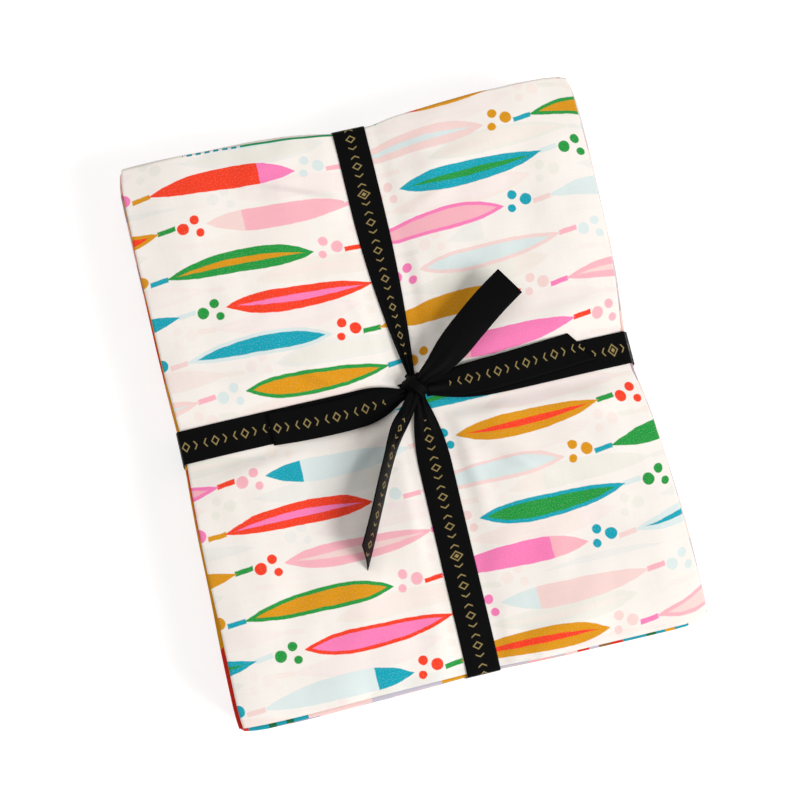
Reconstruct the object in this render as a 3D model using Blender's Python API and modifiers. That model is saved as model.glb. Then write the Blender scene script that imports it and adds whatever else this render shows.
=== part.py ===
"""A fat quarter bundle: twenty cuts of quilting cotton, each folded in four, laid in one
stack and tied both ways with ribbon. Metres; X runs across the short side, Y along the
long side, Z up, and the origin is under the middle of the bundle."""

import bisect
import math
from collections import namedtuple

import bmesh
import bpy
from mathutils import Vector

# ---- Driving dimensions ----
CUT_X, CUT_Y = 0.457, 0.552  # one fat quarter as it is cut
CLOTH = 0.00028  # one layer of quilting cotton
LAYER_PITCH = 0.00042  # from one layer of a folded quarter to the next
QUARTER_GAP = 0.00047  # between two folded quarters where nothing presses on them
QUARTER_PITCH = 3 * LAYER_PITCH + CLOTH + QUARTER_GAP
FOOT = 0.000153  # middle of the lowest layer, with which its underside rests at zero
RIBBON_WIDTH, RIBBON = 0.016, 0.001
GAP = 0.00032  # what pieces that touch keep between them

# ---- How the ribbons press the stack ----
GROOVE_X, GROOVE_Y = 0.0020, -0.0015  # middles of the lengthwise and crosswise grooves
GROOVE_FLOOR = 0.0105  # half the flat floor under a ribbon
GROOVE_REACH = 0.020  # how far beside the floor the top cloth rises again
TOP_GROOVE, INNER_GROOVE = 0.0022, 0.0026  # how deep, in the top quarter and under it
BASE_GROOVE, INNER_BASE_GROOVE = 0.00142, 0.00178  # in the lowest quarter and over it
TOP_FALL, BASE_RISE = 0.0026, 0.0012  # the top sinks and the base lifts at the edges
EDGE_REACH = 0.030  # over which the top cloth falls to its edge
BASE_SLOPE, BASE_EDGE = 0.0115, 0.0145  # how wide the base's slopes are, by a groove and at its edges
CROWN_SHARE = 0.58  # the fullest line between the middle and an edge
HOLD_REACH = 0.033  # along an edge, how far a ribbon's pull is felt
PULL = {"left": 0.0019, "right": 0.0067, "front": 0.001, "back": 0.005}
PULL_HALFWAY_UP = 0.55  # share of the pull that is left between the top and the base

# ---- The top quarter's own outline ----
# How far in from the stack's edges its own lie, as it is cut a little short, and how far
# each soft corner is drawn in at its two edges, in X and in Y.
TOP_INSET = {"left": 0.0011, "right": 0.0012, "front": 0.0014, "back": 0.0}
CORNER_TUCK = {
    ("left", "back"): (0.0020, 0.0005),
    ("right", "back"): (0.0015, 0.0024),
    ("right", "front"): (0.0008, 0.0038),
    ("left", "front"): (0.0005, 0.0004),
}
CORNER_REACH = 0.014

# ---- The twenty quarters, from the bottom ----
# shift_x, shift_y and uneven (how far the raw edges miss each other) are in millimetres,
# and turn is in degrees.
Quarter = namedtuple("Quarter", "colour shift_x shift_y turn uneven")
QUARTERS = (
    Quarter("teal", 0.6, -0.4, 0.10, 0.8),
    Quarter("coral", -0.8, 0.5, -0.15, 1.2),
    Quarter("cream", 0.3, 1.0, 0.20, 0.6),
    Quarter("mustard", 0.8, -0.8, 0.05, 1.4),
    Quarter("aqua", -0.4, 0.2, -0.25, 0.9),
    Quarter("pink", 0.7, 0.8, 0.15, 1.1),
    Quarter("green", -0.7, -0.5, 0.00, 0.7),
    Quarter("blush", 0.2, -1.1, -0.10, 1.3),
    Quarter("red", 0.6, 0.4, 0.25, 0.8),
    Quarter("cream", -0.4, -0.3, -0.20, 1.0),
    Quarter("teal", 0.5, 0.7, 0.10, 1.5),
    Quarter("magenta", -0.4, -0.7, -0.05, 0.6),
    Quarter("mustard", 0.1, 0.6, 0.20, 1.2),
    Quarter("green", 0.75, -0.2, -0.15, 0.9),
    Quarter("coral", 0.0, 0.8, 0.05, 1.1),
    Quarter("aqua", 0.6, -0.5, -0.25, 0.8),
    Quarter("blush", 0.2, -0.7, 0.15, 1.3),
    Quarter("red", -0.25, -0.1, -0.42, 0.4),
    Quarter("mustard", 0.1, -0.5, -0.10, 0.2),
    Quarter("white", 0.0, 0.4, 0.00, -0.4),
)
COLOURS = {
    "white": (0.93, 0.88, 0.85),
    "cream": (0.90, 0.84, 0.74),
    "mustard": (0.72, 0.33, 0.01),
    "teal": (0.01, 0.38, 0.50),
    "aqua": (0.72, 0.80, 0.78),
    "green": (0.02, 0.34, 0.09),
    "coral": (0.95, 0.10, 0.03),
    "red": (0.70, 0.02, 0.01),
    "magenta": (0.92, 0.21, 0.50),
    "pink": (0.92, 0.47, 0.45),
    "blush": (0.90, 0.66, 0.60),
    "ribbon": (0.004, 0.004, 0.005),
}

TOP_LEVEL = FOOT + (len(QUARTERS) - 1) * QUARTER_PITCH + 3 * LAYER_PITCH

# The folded bundle's two directions: half its size, the middle of the groove that lies
# across this direction, the fullest line beside it and where the base leaves the surface.
Axis = namedtuple("Axis", "half groove crown shoulder")
X = Axis(CUT_X / 4, GROOVE_X, CROWN_SHARE * CUT_X / 4, CUT_X / 4 - BASE_EDGE)
Y = Axis(CUT_Y / 4, GROOVE_Y, CROWN_SHARE * CUT_Y / 4, CUT_Y / 4 - BASE_EDGE)


def cross_lines(axis, by_groove, by_middle=()):
    """Lines at these distances on both sides of the groove, then of the middle, and the
    edges, as places along one direction."""
    places = [axis.groove + sign * distance for distance in by_groove for sign in (-1, 1)]
    places += [sign * distance for distance in (*by_middle, axis.half) for sign in (-1, 1)]
    return sorted(set(places))


# Lines that cross the cloth in each direction. The outer two are its edges.
Lines = namedtuple("Lines", "x y")
INNER = Lines(cross_lines(X, (0,), (X.crown,)), cross_lines(Y, (0,), (Y.crown,)))
TOP = Lines(
    cross_lines(X, (GROOVE_FLOOR, 0.026, 0.062, 0.086, 0.102)),
    cross_lines(Y, (GROOVE_FLOOR, 0.026, 0.080, 0.110, 0.126)),
)
BY_GROOVE = GROOVE_FLOOR, GROOVE_FLOOR + BASE_SLOPE
BASE = Lines(cross_lines(X, BY_GROOVE, (X.shoulder,)), cross_lines(Y, BY_GROOVE, (Y.shoulder,)))


# ---- The stack's form ----
def ridge(place, axis, groove, edge):
    """A straight-sided fall from the crown lines: this deep at the groove and the edges."""
    if abs(place) > axis.crown:
        return edge * (abs(place) - axis.crown) / (axis.half - axis.crown)
    span = abs(math.copysign(axis.crown, place - axis.groove) - axis.groove)
    return groove * (1 - abs(place - axis.groove) / span)


def inner_fall(place, axis):
    """How far the top of the stack lies below its full height, along one direction."""
    return ridge(place, axis, INNER_GROOVE, TOP_FALL)


def inner_rise(place, axis):
    """How far the base of the stack is lifted, from the second quarter up."""
    return ridge(place, axis, INNER_BASE_GROOVE, BASE_RISE)


def soft_fall(place, axis):
    """How far the loose top quarter lies below its full height."""
    beside = max(abs(place - axis.groove) - GROOVE_FLOOR, 0.0)
    outer = max(abs(place) - axis.half + EDGE_REACH, 0.0)
    pressed = math.exp(-((beside / GROOVE_REACH) ** 2))
    return TOP_GROOVE * pressed + TOP_FALL * (outer / EDGE_REACH) ** 2


def base_rise(place, axis):
    """How far the lowest quarter is lifted: over the ribbons and at its edges."""
    beside = max(abs(place - axis.groove) - GROOVE_FLOOR, 0.0)
    outer = max(abs(place) - axis.shoulder, 0.0)
    over_ribbon = max(1 - beside / BASE_SLOPE, 0.0)
    return BASE_GROOVE * over_ribbon + BASE_RISE * outer / BASE_EDGE


def faceted(profile, place, axis, lines):
    """A profile as the cloth's flat facets between its lines have it."""
    index = bisect.bisect(lines, place, 1, len(lines) - 1)
    low, high = lines[index - 1], lines[index]
    share = (place - low) / (high - low)
    return profile(low, axis) * (1 - share) + profile(high, axis) * share


def height(x, y, level, fall=inner_fall, rise=inner_rise):
    """Z of the layer that lies at this level where nothing presses on the stack."""
    share = level / TOP_LEVEL
    return level + (1 - share) * (rise(x, X) + rise(y, Y)) - share * (fall(x, X) + fall(y, Y))


def hold(distance):
    """How firmly a ribbon holds an edge, this far along it from the ribbon's middle."""
    return math.exp(-max(abs(distance) - GROOVE_FLOOR, 0.0) / HOLD_REACH)


def pull(side, level):
    """How far a ribbon pulls an edge in: most at the top and the base of the stack."""
    from_middle = 2 * level / TOP_LEVEL - 1
    return PULL[side] * (PULL_HALFWAY_UP + (1 - PULL_HALFWAY_UP) * from_middle**2)


def edge(quarter, side, along, level, raw=0.0):
    """Where an edge of a quarter runs, this far along it, in X or in Y. A raw edge of one
    layer stands out further than the others where nothing holds it."""
    sign = 1 if side in ("right", "back") else -1
    if side in ("left", "right"):
        axis, groove = X, Y.groove
        loose = quarter.shift_x / 1000 - math.radians(quarter.turn) * along
    else:
        axis, groove = Y, X.groove
        loose = quarter.shift_y / 1000 + math.radians(quarter.turn) * along
    half = axis.half - (TOP_INSET[side] if quarter is QUARTERS[-1] else 0.0)
    held = hold(along - groove)
    return sign * (half - pull(side, level) * held) + (loose + raw) * (1 - held)


def corner_tuck(x, y):
    """How far the soft corner next to this place draws its edges in, in X and in Y."""
    tuck_x, tuck_y = CORNER_TUCK["left" if x < 0 else "right", "front" if y < 0 else "back"]
    along_x = max((abs(x) - X.half) / CORNER_REACH + 1, 0.0) ** 2
    along_y = max((abs(y) - Y.half) / CORNER_REACH + 1, 0.0) ** 2
    return tuck_x * along_y, tuck_y * along_x


# ---- Making a sheet ----
bundle = bpy.data.collections.new("fat_quarter_bundle")
cutters = bpy.data.collections.new("cutters")


def clear_scene():
    for obj in list(bpy.data.objects):
        bpy.data.objects.remove(obj)
    bpy.context.scene.collection.children.link(bundle)
    bpy.context.scene.collection.children.link(cutters)


def material(name, colour, roughness):
    made = bpy.data.materials.get(name) or bpy.data.materials.new(name)
    made.use_nodes = True
    shader = made.node_tree.nodes["Principled BSDF"]
    shader.inputs["Base Color"].default_value = (*colour, 1.0)
    shader.inputs["Roughness"].default_value = roughness
    shader.inputs["Metallic"].default_value = 0.0
    made.diffuse_color = (*colour, 1.0)
    return made


def finish_object(name, bm, finish):
    """The bmesh as a smooth-shaded object in the bundle's collection."""
    mesh = bpy.data.meshes.new(name)
    bm.to_mesh(mesh)
    bm.free()
    mesh.shade_smooth()
    mesh.set_sharp_from_angle(angle=math.radians(40))
    mesh.materials.append(finish)
    obj = bpy.data.objects.new(name, mesh)
    bundle.objects.link(obj)
    return obj


def sheet(name, columns, rows, place, thickness, finish):
    """A grid whose points place(column, row) puts in their folded or tied form, made solid."""
    bm = bmesh.new()
    bmesh.ops.create_grid(bm, x_segments=columns, y_segments=rows, size=0.5)
    for vert in bm.verts:
        column = round((vert.co.x + 0.5) * columns)
        row = round((vert.co.y + 0.5) * rows)
        vert.co = place(column, row)
    obj = finish_object(name, bm, finish)
    solid = obj.modifiers.new("thickness", "SOLIDIFY")
    solid.thickness = thickness
    solid.offset = 0
    solid.use_even_offset = True
    solid.use_quality_normals = True
    return obj


# ---- Folded quarters ----
def fold_walk(lines, nose_steps):
    """The way along a sheet folded in half: (line, turn) in from a raw edge, round the
    fold on the first line and back out. The turn runs from -90 to 90 degrees."""
    walk = [(line, -math.pi / 2) for line in reversed(lines)]
    for step in range(1, nose_steps):
        walk.append((lines[0], math.pi * (step / nose_steps - 0.5)))
    walk += [(line, math.pi / 2) for line in lines]
    return walk


def folded_quarter(name, quarter, base, lines, nose_steps, fall, rise, soft_corners=False):
    """Four layers of one cut: folded in half at the left, then in half again at the front."""
    across = fold_walk(lines.x, nose_steps)
    along = fold_walk(lines.y, nose_steps)
    uneven = quarter.uneven / 2000

    def place(column, row):
        x, turn_x = across[column]
        y, turn_y = along[row]
        radius = (1 - math.sin(turn_x) / 2) * LAYER_PITCH
        level = base + LAYER_PITCH * 1.5 + radius * math.sin(turn_y)
        tuck_x, tuck_y = corner_tuck(x, y) if soft_corners else (0.0, 0.0)
        at_x, at_y = x, y
        if x == lines.x[0]:
            in_from_fold = (1 - math.cos(turn_x)) * LAYER_PITCH / 2
            at_x = edge(quarter, "left", y, level) + tuck_x + in_from_fold
        elif x == lines.x[-1]:
            at_x = edge(quarter, "right", y, level, uneven * math.sin(turn_x)) - tuck_x
        if y == lines.y[0]:
            in_from_fold = 1.5 * LAYER_PITCH - radius * math.cos(turn_y)
            at_y = edge(quarter, "front", x, level) + tuck_y + in_from_fold
        elif y == lines.y[-1]:
            at_y = edge(quarter, "back", x, level, uneven * math.sin(turn_y)) - tuck_y
        return Vector((at_x, at_y, height(at_x, at_y, level, fall, rise)))

    finish = material(quarter.colour + "_cotton", COLOURS[quarter.colour], 0.85)
    sheet(name, len(across) - 1, len(along) - 1, place, CLOTH, finish)


def stack():
    for index, quarter in enumerate(QUARTERS):
        name = f"fat_quarter_{index + 1:02d}"
        base = FOOT + index * QUARTER_PITCH
        if index == 0:
            folded_quarter(name, quarter, base, BASE, 2, inner_fall, base_rise)
        elif index == len(QUARTERS) - 1:
            folded_quarter(name, quarter, base, TOP, 3, soft_fall, inner_rise, True)
        else:
            folded_quarter(name, quarter, base, INNER, 2, inner_fall, inner_rise)


# ---- Ribbon ----
COLUMNS = 4  # faces across a ribbon
KNOT_X, KNOT_Y = 0.0027, 0.0020
KNOT_REACH = 0.0070  # from the knot's middle to where the ribbons leave it
BAND_RISE = 0.0017  # above its seat on the cloth, where a band enters the knot
RISE_REACH = 0.030
CORNER_RADIUS, CORNER_RISE = 0.0025, 0.0009  # round the stack's edges, and above its seat there
SIDE_CLEAR = 0.0015  # from the held edges to the middle of the ribbon's thickness
ROW_CLEAR = 0.002  # a row nearer than this to one of the cloth's lines is left out
SIDE_SHARES = 0.85, 0.5, 0.15  # of the stack's height, where a band's side has a row
UNDER_BAND = 0.0006  # height of the ribbons' middle under the stack
END_GAP, END_ARCH = 0.00042, 0.0006  # a lying end above its band: everywhere, and halfway along
FINE_STEPS = 0.010, 0.016, 0.020, 0.036, 0.048  # rows from the knot outwards

Row = namedtuple("Row", "middle across width crest")
# pinch is the width at the knot, spread the distance by which it is whole again, crest the
# arch of the gathered ribbon at the knot, near and far the band's middle at the knot and at
# the edge, and settle the distance by which it runs straight.
Arm = namedtuple("Arm", "side pinch spread crest near far settle")
LONG_ARMS = (
    Arm("back", 0.0035, 0.085, 0.0007, 0.0020, 0.0005, 0.090),
    Arm("front", 0.0055, 0.032, 0.0011, 0.0037, 0.0026, 0.130),
)
CROSS_ARMS = (
    Arm("right", 0.0090, 0.028, 0.0008, 0.0007, -0.0020, 0.045),
    Arm("left", 0.0055, 0.020, 0.0005, -0.0001, -0.0014, 0.030),
)


def eased(share):
    share = min(max(share, 0.0), 1.0)
    return share * share * (3 - 2 * share)


def settled(share):
    """From 0 to 1, fast at first and then ever slower."""
    return 1 - (1 - min(max(share, 0.0), 1.0)) ** 2


def strip(name, rows, finish, slant=0.0):
    """A ribbon through its rows. Slant carries one corner of the last row past the other."""

    def place(column, row):
        here = rows[row]
        ahead = rows[min(row + 1, len(rows) - 1)].middle - rows[max(row - 1, 0)].middle
        ahead.normalize()
        side = column / COLUMNS - 0.5
        up = ahead.cross(here.across).normalized()
        crest = here.crest * (1 - 4 * side * side)
        point = here.middle + here.across * here.width * side + up * crest
        return point + ahead * slant * side * (row == len(rows) - 1)

    return sheet(name, COLUMNS, len(rows) - 1, place, RIBBON, finish)


def top_fall(place, axis):
    """The fall of the top quarter as it is built, between its lines."""
    return faceted(soft_fall, place, axis, TOP.x if axis is X else TOP.y)


def seat(x, y):
    """Z of the middle of a ribbon that lies on the top quarter."""
    return height(x, y, TOP_LEVEL, top_fall) + CLOTH / 2 + GAP + RIBBON / 2


def on_top(arm, lengthwise, distance, lift=0.0, drift=0.0):
    """The row of a band's arm over the top of the stack, this far from the knot."""
    sign = 1 if arm.side in ("back", "right") else -1
    straight = settled((distance - KNOT_REACH) / arm.settle)
    across_at = arm.near + (arm.far - arm.near) * straight + drift
    near_knot = 1 - eased((distance - KNOT_REACH) / RISE_REACH)
    whole = settled((distance - KNOT_REACH) / arm.spread)
    width = arm.pinch + (RIBBON_WIDTH - arm.pinch) * whole
    if lengthwise:
        x, y, across = across_at, KNOT_Y + sign * distance, Vector((-sign, 0, 0))
    else:
        x, y, across = KNOT_X + sign * distance, across_at, Vector((0, sign, 0))
    z = seat(x, y) + BAND_RISE * near_knot + lift
    return Row(Vector((x, y, z)), across, width, arm.crest * (1 - whole))


def turned(row, lengthwise, out, z):
    """The same row carried out to another place along the band and another height."""
    x, y = (row.middle.x, out) if lengthwise else (out, row.middle.y)
    return row._replace(middle=Vector((x, y, z)))


def row_distances(arm, lengthwise):
    """Where an arm has rows on top, from the knot: its own and the top quarter's lines."""
    sign = 1 if arm.side in ("back", "right") else -1
    lines, knot = (TOP.y, KNOT_Y) if lengthwise else (TOP.x, KNOT_X)
    kinks = [sign * (line - knot) for line in lines[1:-1]]
    kinks = [kink for kink in kinks if kink > KNOT_REACH + ROW_CLEAR]
    clear = [step for step in FINE_STEPS if min(abs(step - kink) for kink in kinks) > ROW_CLEAR]
    return [KNOT_REACH, *sorted([*clear, *kinks])]


def over_edge(arm, lengthwise):
    """Rows of a band from the knot out over an edge and down to the base, knot first."""
    sign = 1 if arm.side in ("back", "right") else -1
    half = Y.half if lengthwise else X.half
    rows = [on_top(arm, lengthwise, distance) for distance in row_distances(arm, lengthwise)]
    last = rows[-1]
    out = sign * (half - pull(arm.side, TOP_LEVEL) + SIDE_CLEAR)
    top = seat(0, out) if lengthwise else seat(out, 0)
    top += CORNER_RISE
    in_from = out - sign * CORNER_RADIUS
    for angle in (0, 45, 90):
        over, down = math.sin(math.radians(angle)), 1 - math.cos(math.radians(angle))
        z = top - CORNER_RADIUS * down
        rows.append(turned(last, lengthwise, in_from + sign * CORNER_RADIUS * over, z))
    for share in SIDE_SHARES:
        reach = half - pull(arm.side, share * TOP_LEVEL) + SIDE_CLEAR
        rows.append(turned(last, lengthwise, sign * reach, share * TOP_LEVEL))
    for angle in (90, 45, 0):
        over, down = math.sin(math.radians(angle)), 1 - math.cos(math.radians(angle))
        z = UNDER_BAND + CORNER_RADIUS * down
        rows.append(turned(last, lengthwise, in_from + sign * CORNER_RADIUS * over, z))
    return rows


def band(name, arms, lengthwise, finish):
    """One ribbon round the stack, from one side of the knot to the other."""
    first, second = (over_edge(arm, lengthwise) for arm in arms)
    groove = Y.groove if lengthwise else X.groove
    over = RIBBON + GAP if lengthwise else 0.0  # lengthwise, it passes above the other ribbon
    under = []
    for distance, lift in ((2, 0), (1, over), (-1, over), (-2, 0)):
        middle = second[-1].middle.lerp(first[-1].middle, distance / 4 + 0.5)
        row = first[-1]._replace(middle=middle)
        out = groove + distance * GROOVE_FLOOR
        under.append(turned(row, lengthwise, out, UNDER_BAND + lift))
    back_up = [row._replace(across=-row.across) for row in reversed(second)]
    strip(name, [*first, *under, *back_up], finish)


def lying_end(name, arm, length, drift, bow, slant, finish):
    """A cut end that lies on an arm of the crosswise band, more and more to one side of it
    and bowed."""
    rows = []
    last_whole = length - abs(slant) / 2 - ROW_CLEAR
    distances = [distance for distance in row_distances(arm, False) if distance < last_whole]
    for distance in (*distances, length):
        share = (distance - KNOT_REACH) / (length - KNOT_REACH)
        lift = RIBBON + END_GAP + END_ARCH * math.sin(math.pi * share)
        aside = drift * share + bow * math.sin(math.pi * share)
        rows.append(on_top(arm, False, distance, lift, aside))
    strip(name, rows, finish, slant)


# A free end's middle line from the knot, in millimetres, with x and y from the knot and z
# from the ribbon's seat there, the width there, and the roll about the line in degrees.
Free = namedtuple("Free", "x y z width roll")
RAISED_END = (
    Free(4.9, 3.4, 5.6, 6.6, 2),
    Free(9.4, 5.8, 6.9, 9.4, 5),
    Free(14.2, 8.6, 8.0, 12.6, 8),
    Free(21.6, 14.2, 9.8, 15.4, 9),
    Free(31.4, 21.8, 11.8, 16.0, 7),
    Free(43.1, 30.4, 13.6, 16.0, 3),
    Free(54.9, 38.0, 14.6, 16.0, 1),
)
EDGEWISE_END = (
    Free(-3.2, -5.7, 4.9, 6.0, -5),
    Free(-8.0, -12.4, 6.6, 7.6, -28),
    Free(-13.6, -19.0, 8.8, 11.5, -52),
    Free(-17.2, -24.5, 10.0, 14.0, -64),
    Free(-20.8, -31.2, 10.9, 15.6, -70),
    Free(-26.1, -41.5, 11.6, 16.0, -71),
    Free(-32.7, -54.9, 12.2, 16.0, -71),
    Free(-38.1, -65.5, 12.4, 16.0, -70),
    Free(-42.9, -74.9, 12.2, 16.0, -69),
)


def free_end(name, points, slant, finish):
    """A cut end that stands off the cloth, leaving the knot."""
    base = Vector((KNOT_X, KNOT_Y, seat(KNOT_X, KNOT_Y)))
    middles = [base + Vector((point.x, point.y, point.z)) / 1000 for point in points]
    rows = []
    for index, point in enumerate(points):
        ahead = middles[min(index + 1, len(points) - 1)] - middles[max(index - 1, 0)]
        level_across = Vector((-ahead.y, ahead.x, 0)).normalized()
        up = ahead.normalized().cross(level_across)
        roll = math.radians(point.roll)
        across = level_across * math.cos(roll) + up * math.sin(roll)
        rows.append(Row(middles[index], across, point.width / 1000, 0.0))
    strip(name, rows, finish, slant)


KNOT_CORE = Vector((0.0068, 0.0067, 0.0034))  # half sizes
KNOT_SUNK = 0.0004  # its underside lies this far under the middle of the ribbons there
WRAP_RADIUS, WRAP_THICKNESS = 0.0038, 0.0016
WRAP_SHAPE = 1.15, 0.74, 1.6  # along the wrap, its height and its width
WRAP_RISE, WRAP_TURN = 0.0011, math.radians(-50)


def knot(name, finish):
    """The tied middle: a core with one turn of ribbon drawn round it."""
    middle = Vector((KNOT_X, KNOT_Y, seat(KNOT_X, KNOT_Y) + KNOT_CORE.z - KNOT_SUNK))
    bm = bmesh.new()
    bmesh.ops.create_uvsphere(bm, u_segments=14, v_segments=8, radius=1)
    bmesh.ops.scale(bm, verts=bm.verts, vec=KNOT_CORE)
    bmesh.ops.translate(bm, verts=bm.verts, vec=middle)
    core = finish_object(name, bm, finish)
    bpy.ops.mesh.primitive_torus_add(
        major_segments=16,
        minor_segments=8,
        major_radius=WRAP_RADIUS,
        minor_radius=WRAP_THICKNESS,
        location=middle + Vector((0, 0, WRAP_RISE)),
        rotation=(math.pi / 2, 0, WRAP_TURN),
    )
    wrap = bpy.context.object
    wrap.name = "knot_wrap"
    for collection in wrap.users_collection:
        collection.objects.unlink(wrap)
    cutters.objects.link(wrap)
    wrap.scale = WRAP_SHAPE
    wrap.hide_render = True
    wrap.display_type = "WIRE"
    joined = core.modifiers.new("wrap", "BOOLEAN")
    joined.operation = "UNION"
    joined.object = wrap


def ribbons():
    finish = material("black_ribbon", COLOURS["ribbon"], 0.45)
    band("ribbon_lengthwise", LONG_ARMS, True, finish)
    band("ribbon_crosswise", CROSS_ARMS, False, finish)
    knot("ribbon_knot", finish)
    right, left = CROSS_ARMS
    lying_end("ribbon_end_right", right, 0.0832, 0.0052, 0.0, -0.011, finish)
    lying_end("ribbon_end_left", left, 0.0721, -0.0010, -0.0018, 0.0, finish)
    free_end("ribbon_end_raised", RAISED_END, 0.0, finish)
    free_end("ribbon_end_edgewise", EDGEWISE_END, 0.0105, finish)


clear_scene()
stack()
ribbons()
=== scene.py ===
"""Looks of a fat quarter bundle: twenty folded cuts of quilting cotton, stacked and tied both
ways with narrow black ribbon. Metres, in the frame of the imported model."""

import math
from collections import namedtuple
from functools import partial

import bmesh
import bpy
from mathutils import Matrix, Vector, noise


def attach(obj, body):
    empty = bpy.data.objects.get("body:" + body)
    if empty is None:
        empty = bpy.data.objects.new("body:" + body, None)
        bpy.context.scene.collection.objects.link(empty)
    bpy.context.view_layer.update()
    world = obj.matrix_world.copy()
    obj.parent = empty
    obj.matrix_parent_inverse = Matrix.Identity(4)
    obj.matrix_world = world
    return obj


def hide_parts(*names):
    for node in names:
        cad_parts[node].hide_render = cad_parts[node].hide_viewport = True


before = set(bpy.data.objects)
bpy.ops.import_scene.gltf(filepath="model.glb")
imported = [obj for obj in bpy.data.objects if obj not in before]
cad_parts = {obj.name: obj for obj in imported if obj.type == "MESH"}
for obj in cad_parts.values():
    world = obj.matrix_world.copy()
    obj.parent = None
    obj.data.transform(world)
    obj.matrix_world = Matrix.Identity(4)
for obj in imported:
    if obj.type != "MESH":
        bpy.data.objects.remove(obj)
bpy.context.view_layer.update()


# ---------------------------------------------------------------------------------------
# The nineteen quarters under the top one. Each is a cut of plain-woven quilting cotton,
# 457 x 552 mm, printed on one side, folded in half to the left and again to the front.
# They are stacked by hand, so no two edges meet, and the ribbons press them in the middle.
CUT_X, CUT_Y = 0.457, 0.552
HALF_X, HALF_Y = CUT_X / 4, CUT_Y / 4  # half the size of a folded quarter
CLOTH = 0.00028
LAYER_PITCH = 0.00042
QUARTER_PITCH = 0.00201
FOOT = 0.000153  # height of the lowest layer
GROOVE_X, GROOVE_Y = 0.0020, -0.0015  # where the ribbons press
GROOVE_FLOOR, GROOVE_REACH = 0.0095, 0.021  # half the width pressed flat, and the slope beside it
BASE_REACH = 0.0075  # the same slope under the stack
TOP_GROOVE, BASE_GROOVE = 0.0022, 0.0008  # how deep the ribbons press
TOP_FALL, TOP_EDGE = 0.0026, 0.030  # how far the top sinks at the edges, and over what width
BASE_RISE, BASE_EDGE = 0.0012, 0.0145
HOLD_REACH = 0.033  # how far along an edge a ribbon still holds it
PULL = {"left": 0.0019, "right": 0.0067, "front": 0.001, "back": 0.005}
PULL_HALFWAY_UP = 0.55  # the share of the pull that is left there
CUT_SHORT = {  # by how much some of the folded cuts are smaller at a side
    17: {"right": 0.0009},
    18: {"left": 0.0003, "right": 0.0011},
    19: {"left": 0.0011, "right": 0.0012, "front": 0.0014},
}
SKEW, SKEW_FROM, SKEW_OVER = 0.0012, 0.005, 0.040  # the top one's front edge, out at the right
RAW_SLIP = 0.0010  # how far the top one's raw back edges part, left of the ribbon
RAW_SLIP_MIDDLE, RAW_SLIP_SPREAD = -0.037, 0.026
EDGE_WAVE, WAVE_LENGTH = 0.0007, 0.045  # how far an edge wanders from its straight line
RIPPLE, RIPPLE_LENGTH = 0.0007, 0.038  # how far the loose edges of the stack lift and droop
RIPPLE_DEPTH = 0.015  # layers further apart than this ripple on their own
LOOSE_EDGE, CALM_REACH = 0.045, 0.025  # how wide the loose edge is, and the calm beside a ribbon
CALM_BASE = 0.004  # the lowest layers lie still

# Shifts, and how uneven the raw edges are, in millimetres, and the turn in degrees.
Quarter = namedtuple("Quarter", "colour shift_x shift_y turn uneven")
QUARTERS = (
    Quarter("teal", 0.6, -0.4, 0.10, 0.8),
    Quarter("coral", -0.8, 0.5, -0.15, 1.2),
    Quarter("cream", 0.3, 1.0, 0.20, 0.6),
    Quarter("mustard", 0.8, -0.8, 0.05, 1.4),
    Quarter("aqua", -0.4, 0.2, -0.25, 0.9),
    Quarter("pink", 0.7, 0.8, 0.15, 1.1),
    Quarter("green", -0.7, -0.5, 0.00, 0.7),
    Quarter("blush", 0.2, -1.1, -0.10, 1.3),
    Quarter("red", 0.6, 0.4, 0.25, 0.8),
    Quarter("cream", -0.4, -0.3, -0.20, 1.0),
    Quarter("teal", 0.5, 0.7, 0.10, 1.5),
    Quarter("magenta", -0.4, -0.7, -0.05, 0.6),
    Quarter("mustard", 0.1, 0.6, 0.20, 1.2),
    Quarter("green", 0.75, -0.2, -0.15, 0.9),
    Quarter("coral", 0.0, 0.8, 0.05, 1.1),
    Quarter("aqua", 0.6, -0.5, -0.25, 0.8),
    Quarter("blush", 0.2, -0.7, 0.15, 1.3),
    Quarter("red", -0.25, -0.1, -0.42, 0.4),
    Quarter("mustard", 0.5, -0.5, 0.00, 0.2),
    Quarter("white", 0.0, 0.4, 0.00, -0.4),
)
TOP = len(QUARTERS) - 1
TOP_LEVEL = FOOT + TOP * QUARTER_PITCH + 3 * LAYER_PITCH


def eased(share):
    """From 0 to 1, slow at both ends."""
    share = min(max(share, 0.0), 1.0)
    return share * share * (3 - 2 * share)


def pressed(place, middle, reach):
    """1 under a ribbon, and softly down to 0 beside it."""
    beside = max(abs(place - middle) - GROOVE_FLOOR, 0.0)
    return math.exp(-((beside / reach) ** 2))


def by_edge(place, half, reach):
    """0 over the middle of the cloth, and softly up to 1 at its edge."""
    return max((abs(place) - half) / reach + 1, 0.0) ** 2


def ripple(x, y, level):
    """How the loose edges lift and droop, all layers nearly alike."""
    loose = min(by_edge(x, HALF_X, LOOSE_EDGE) + by_edge(y, HALF_Y, LOOSE_EDGE), 1.0)
    loose *= 1 - max(pressed(x, GROOVE_X, CALM_REACH), pressed(y, GROOVE_Y, CALM_REACH))
    place = Vector((x / RIPPLE_LENGTH, y / RIPPLE_LENGTH, level / RIPPLE_DEPTH))
    return RIPPLE * loose * noise.noise(place)


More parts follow.
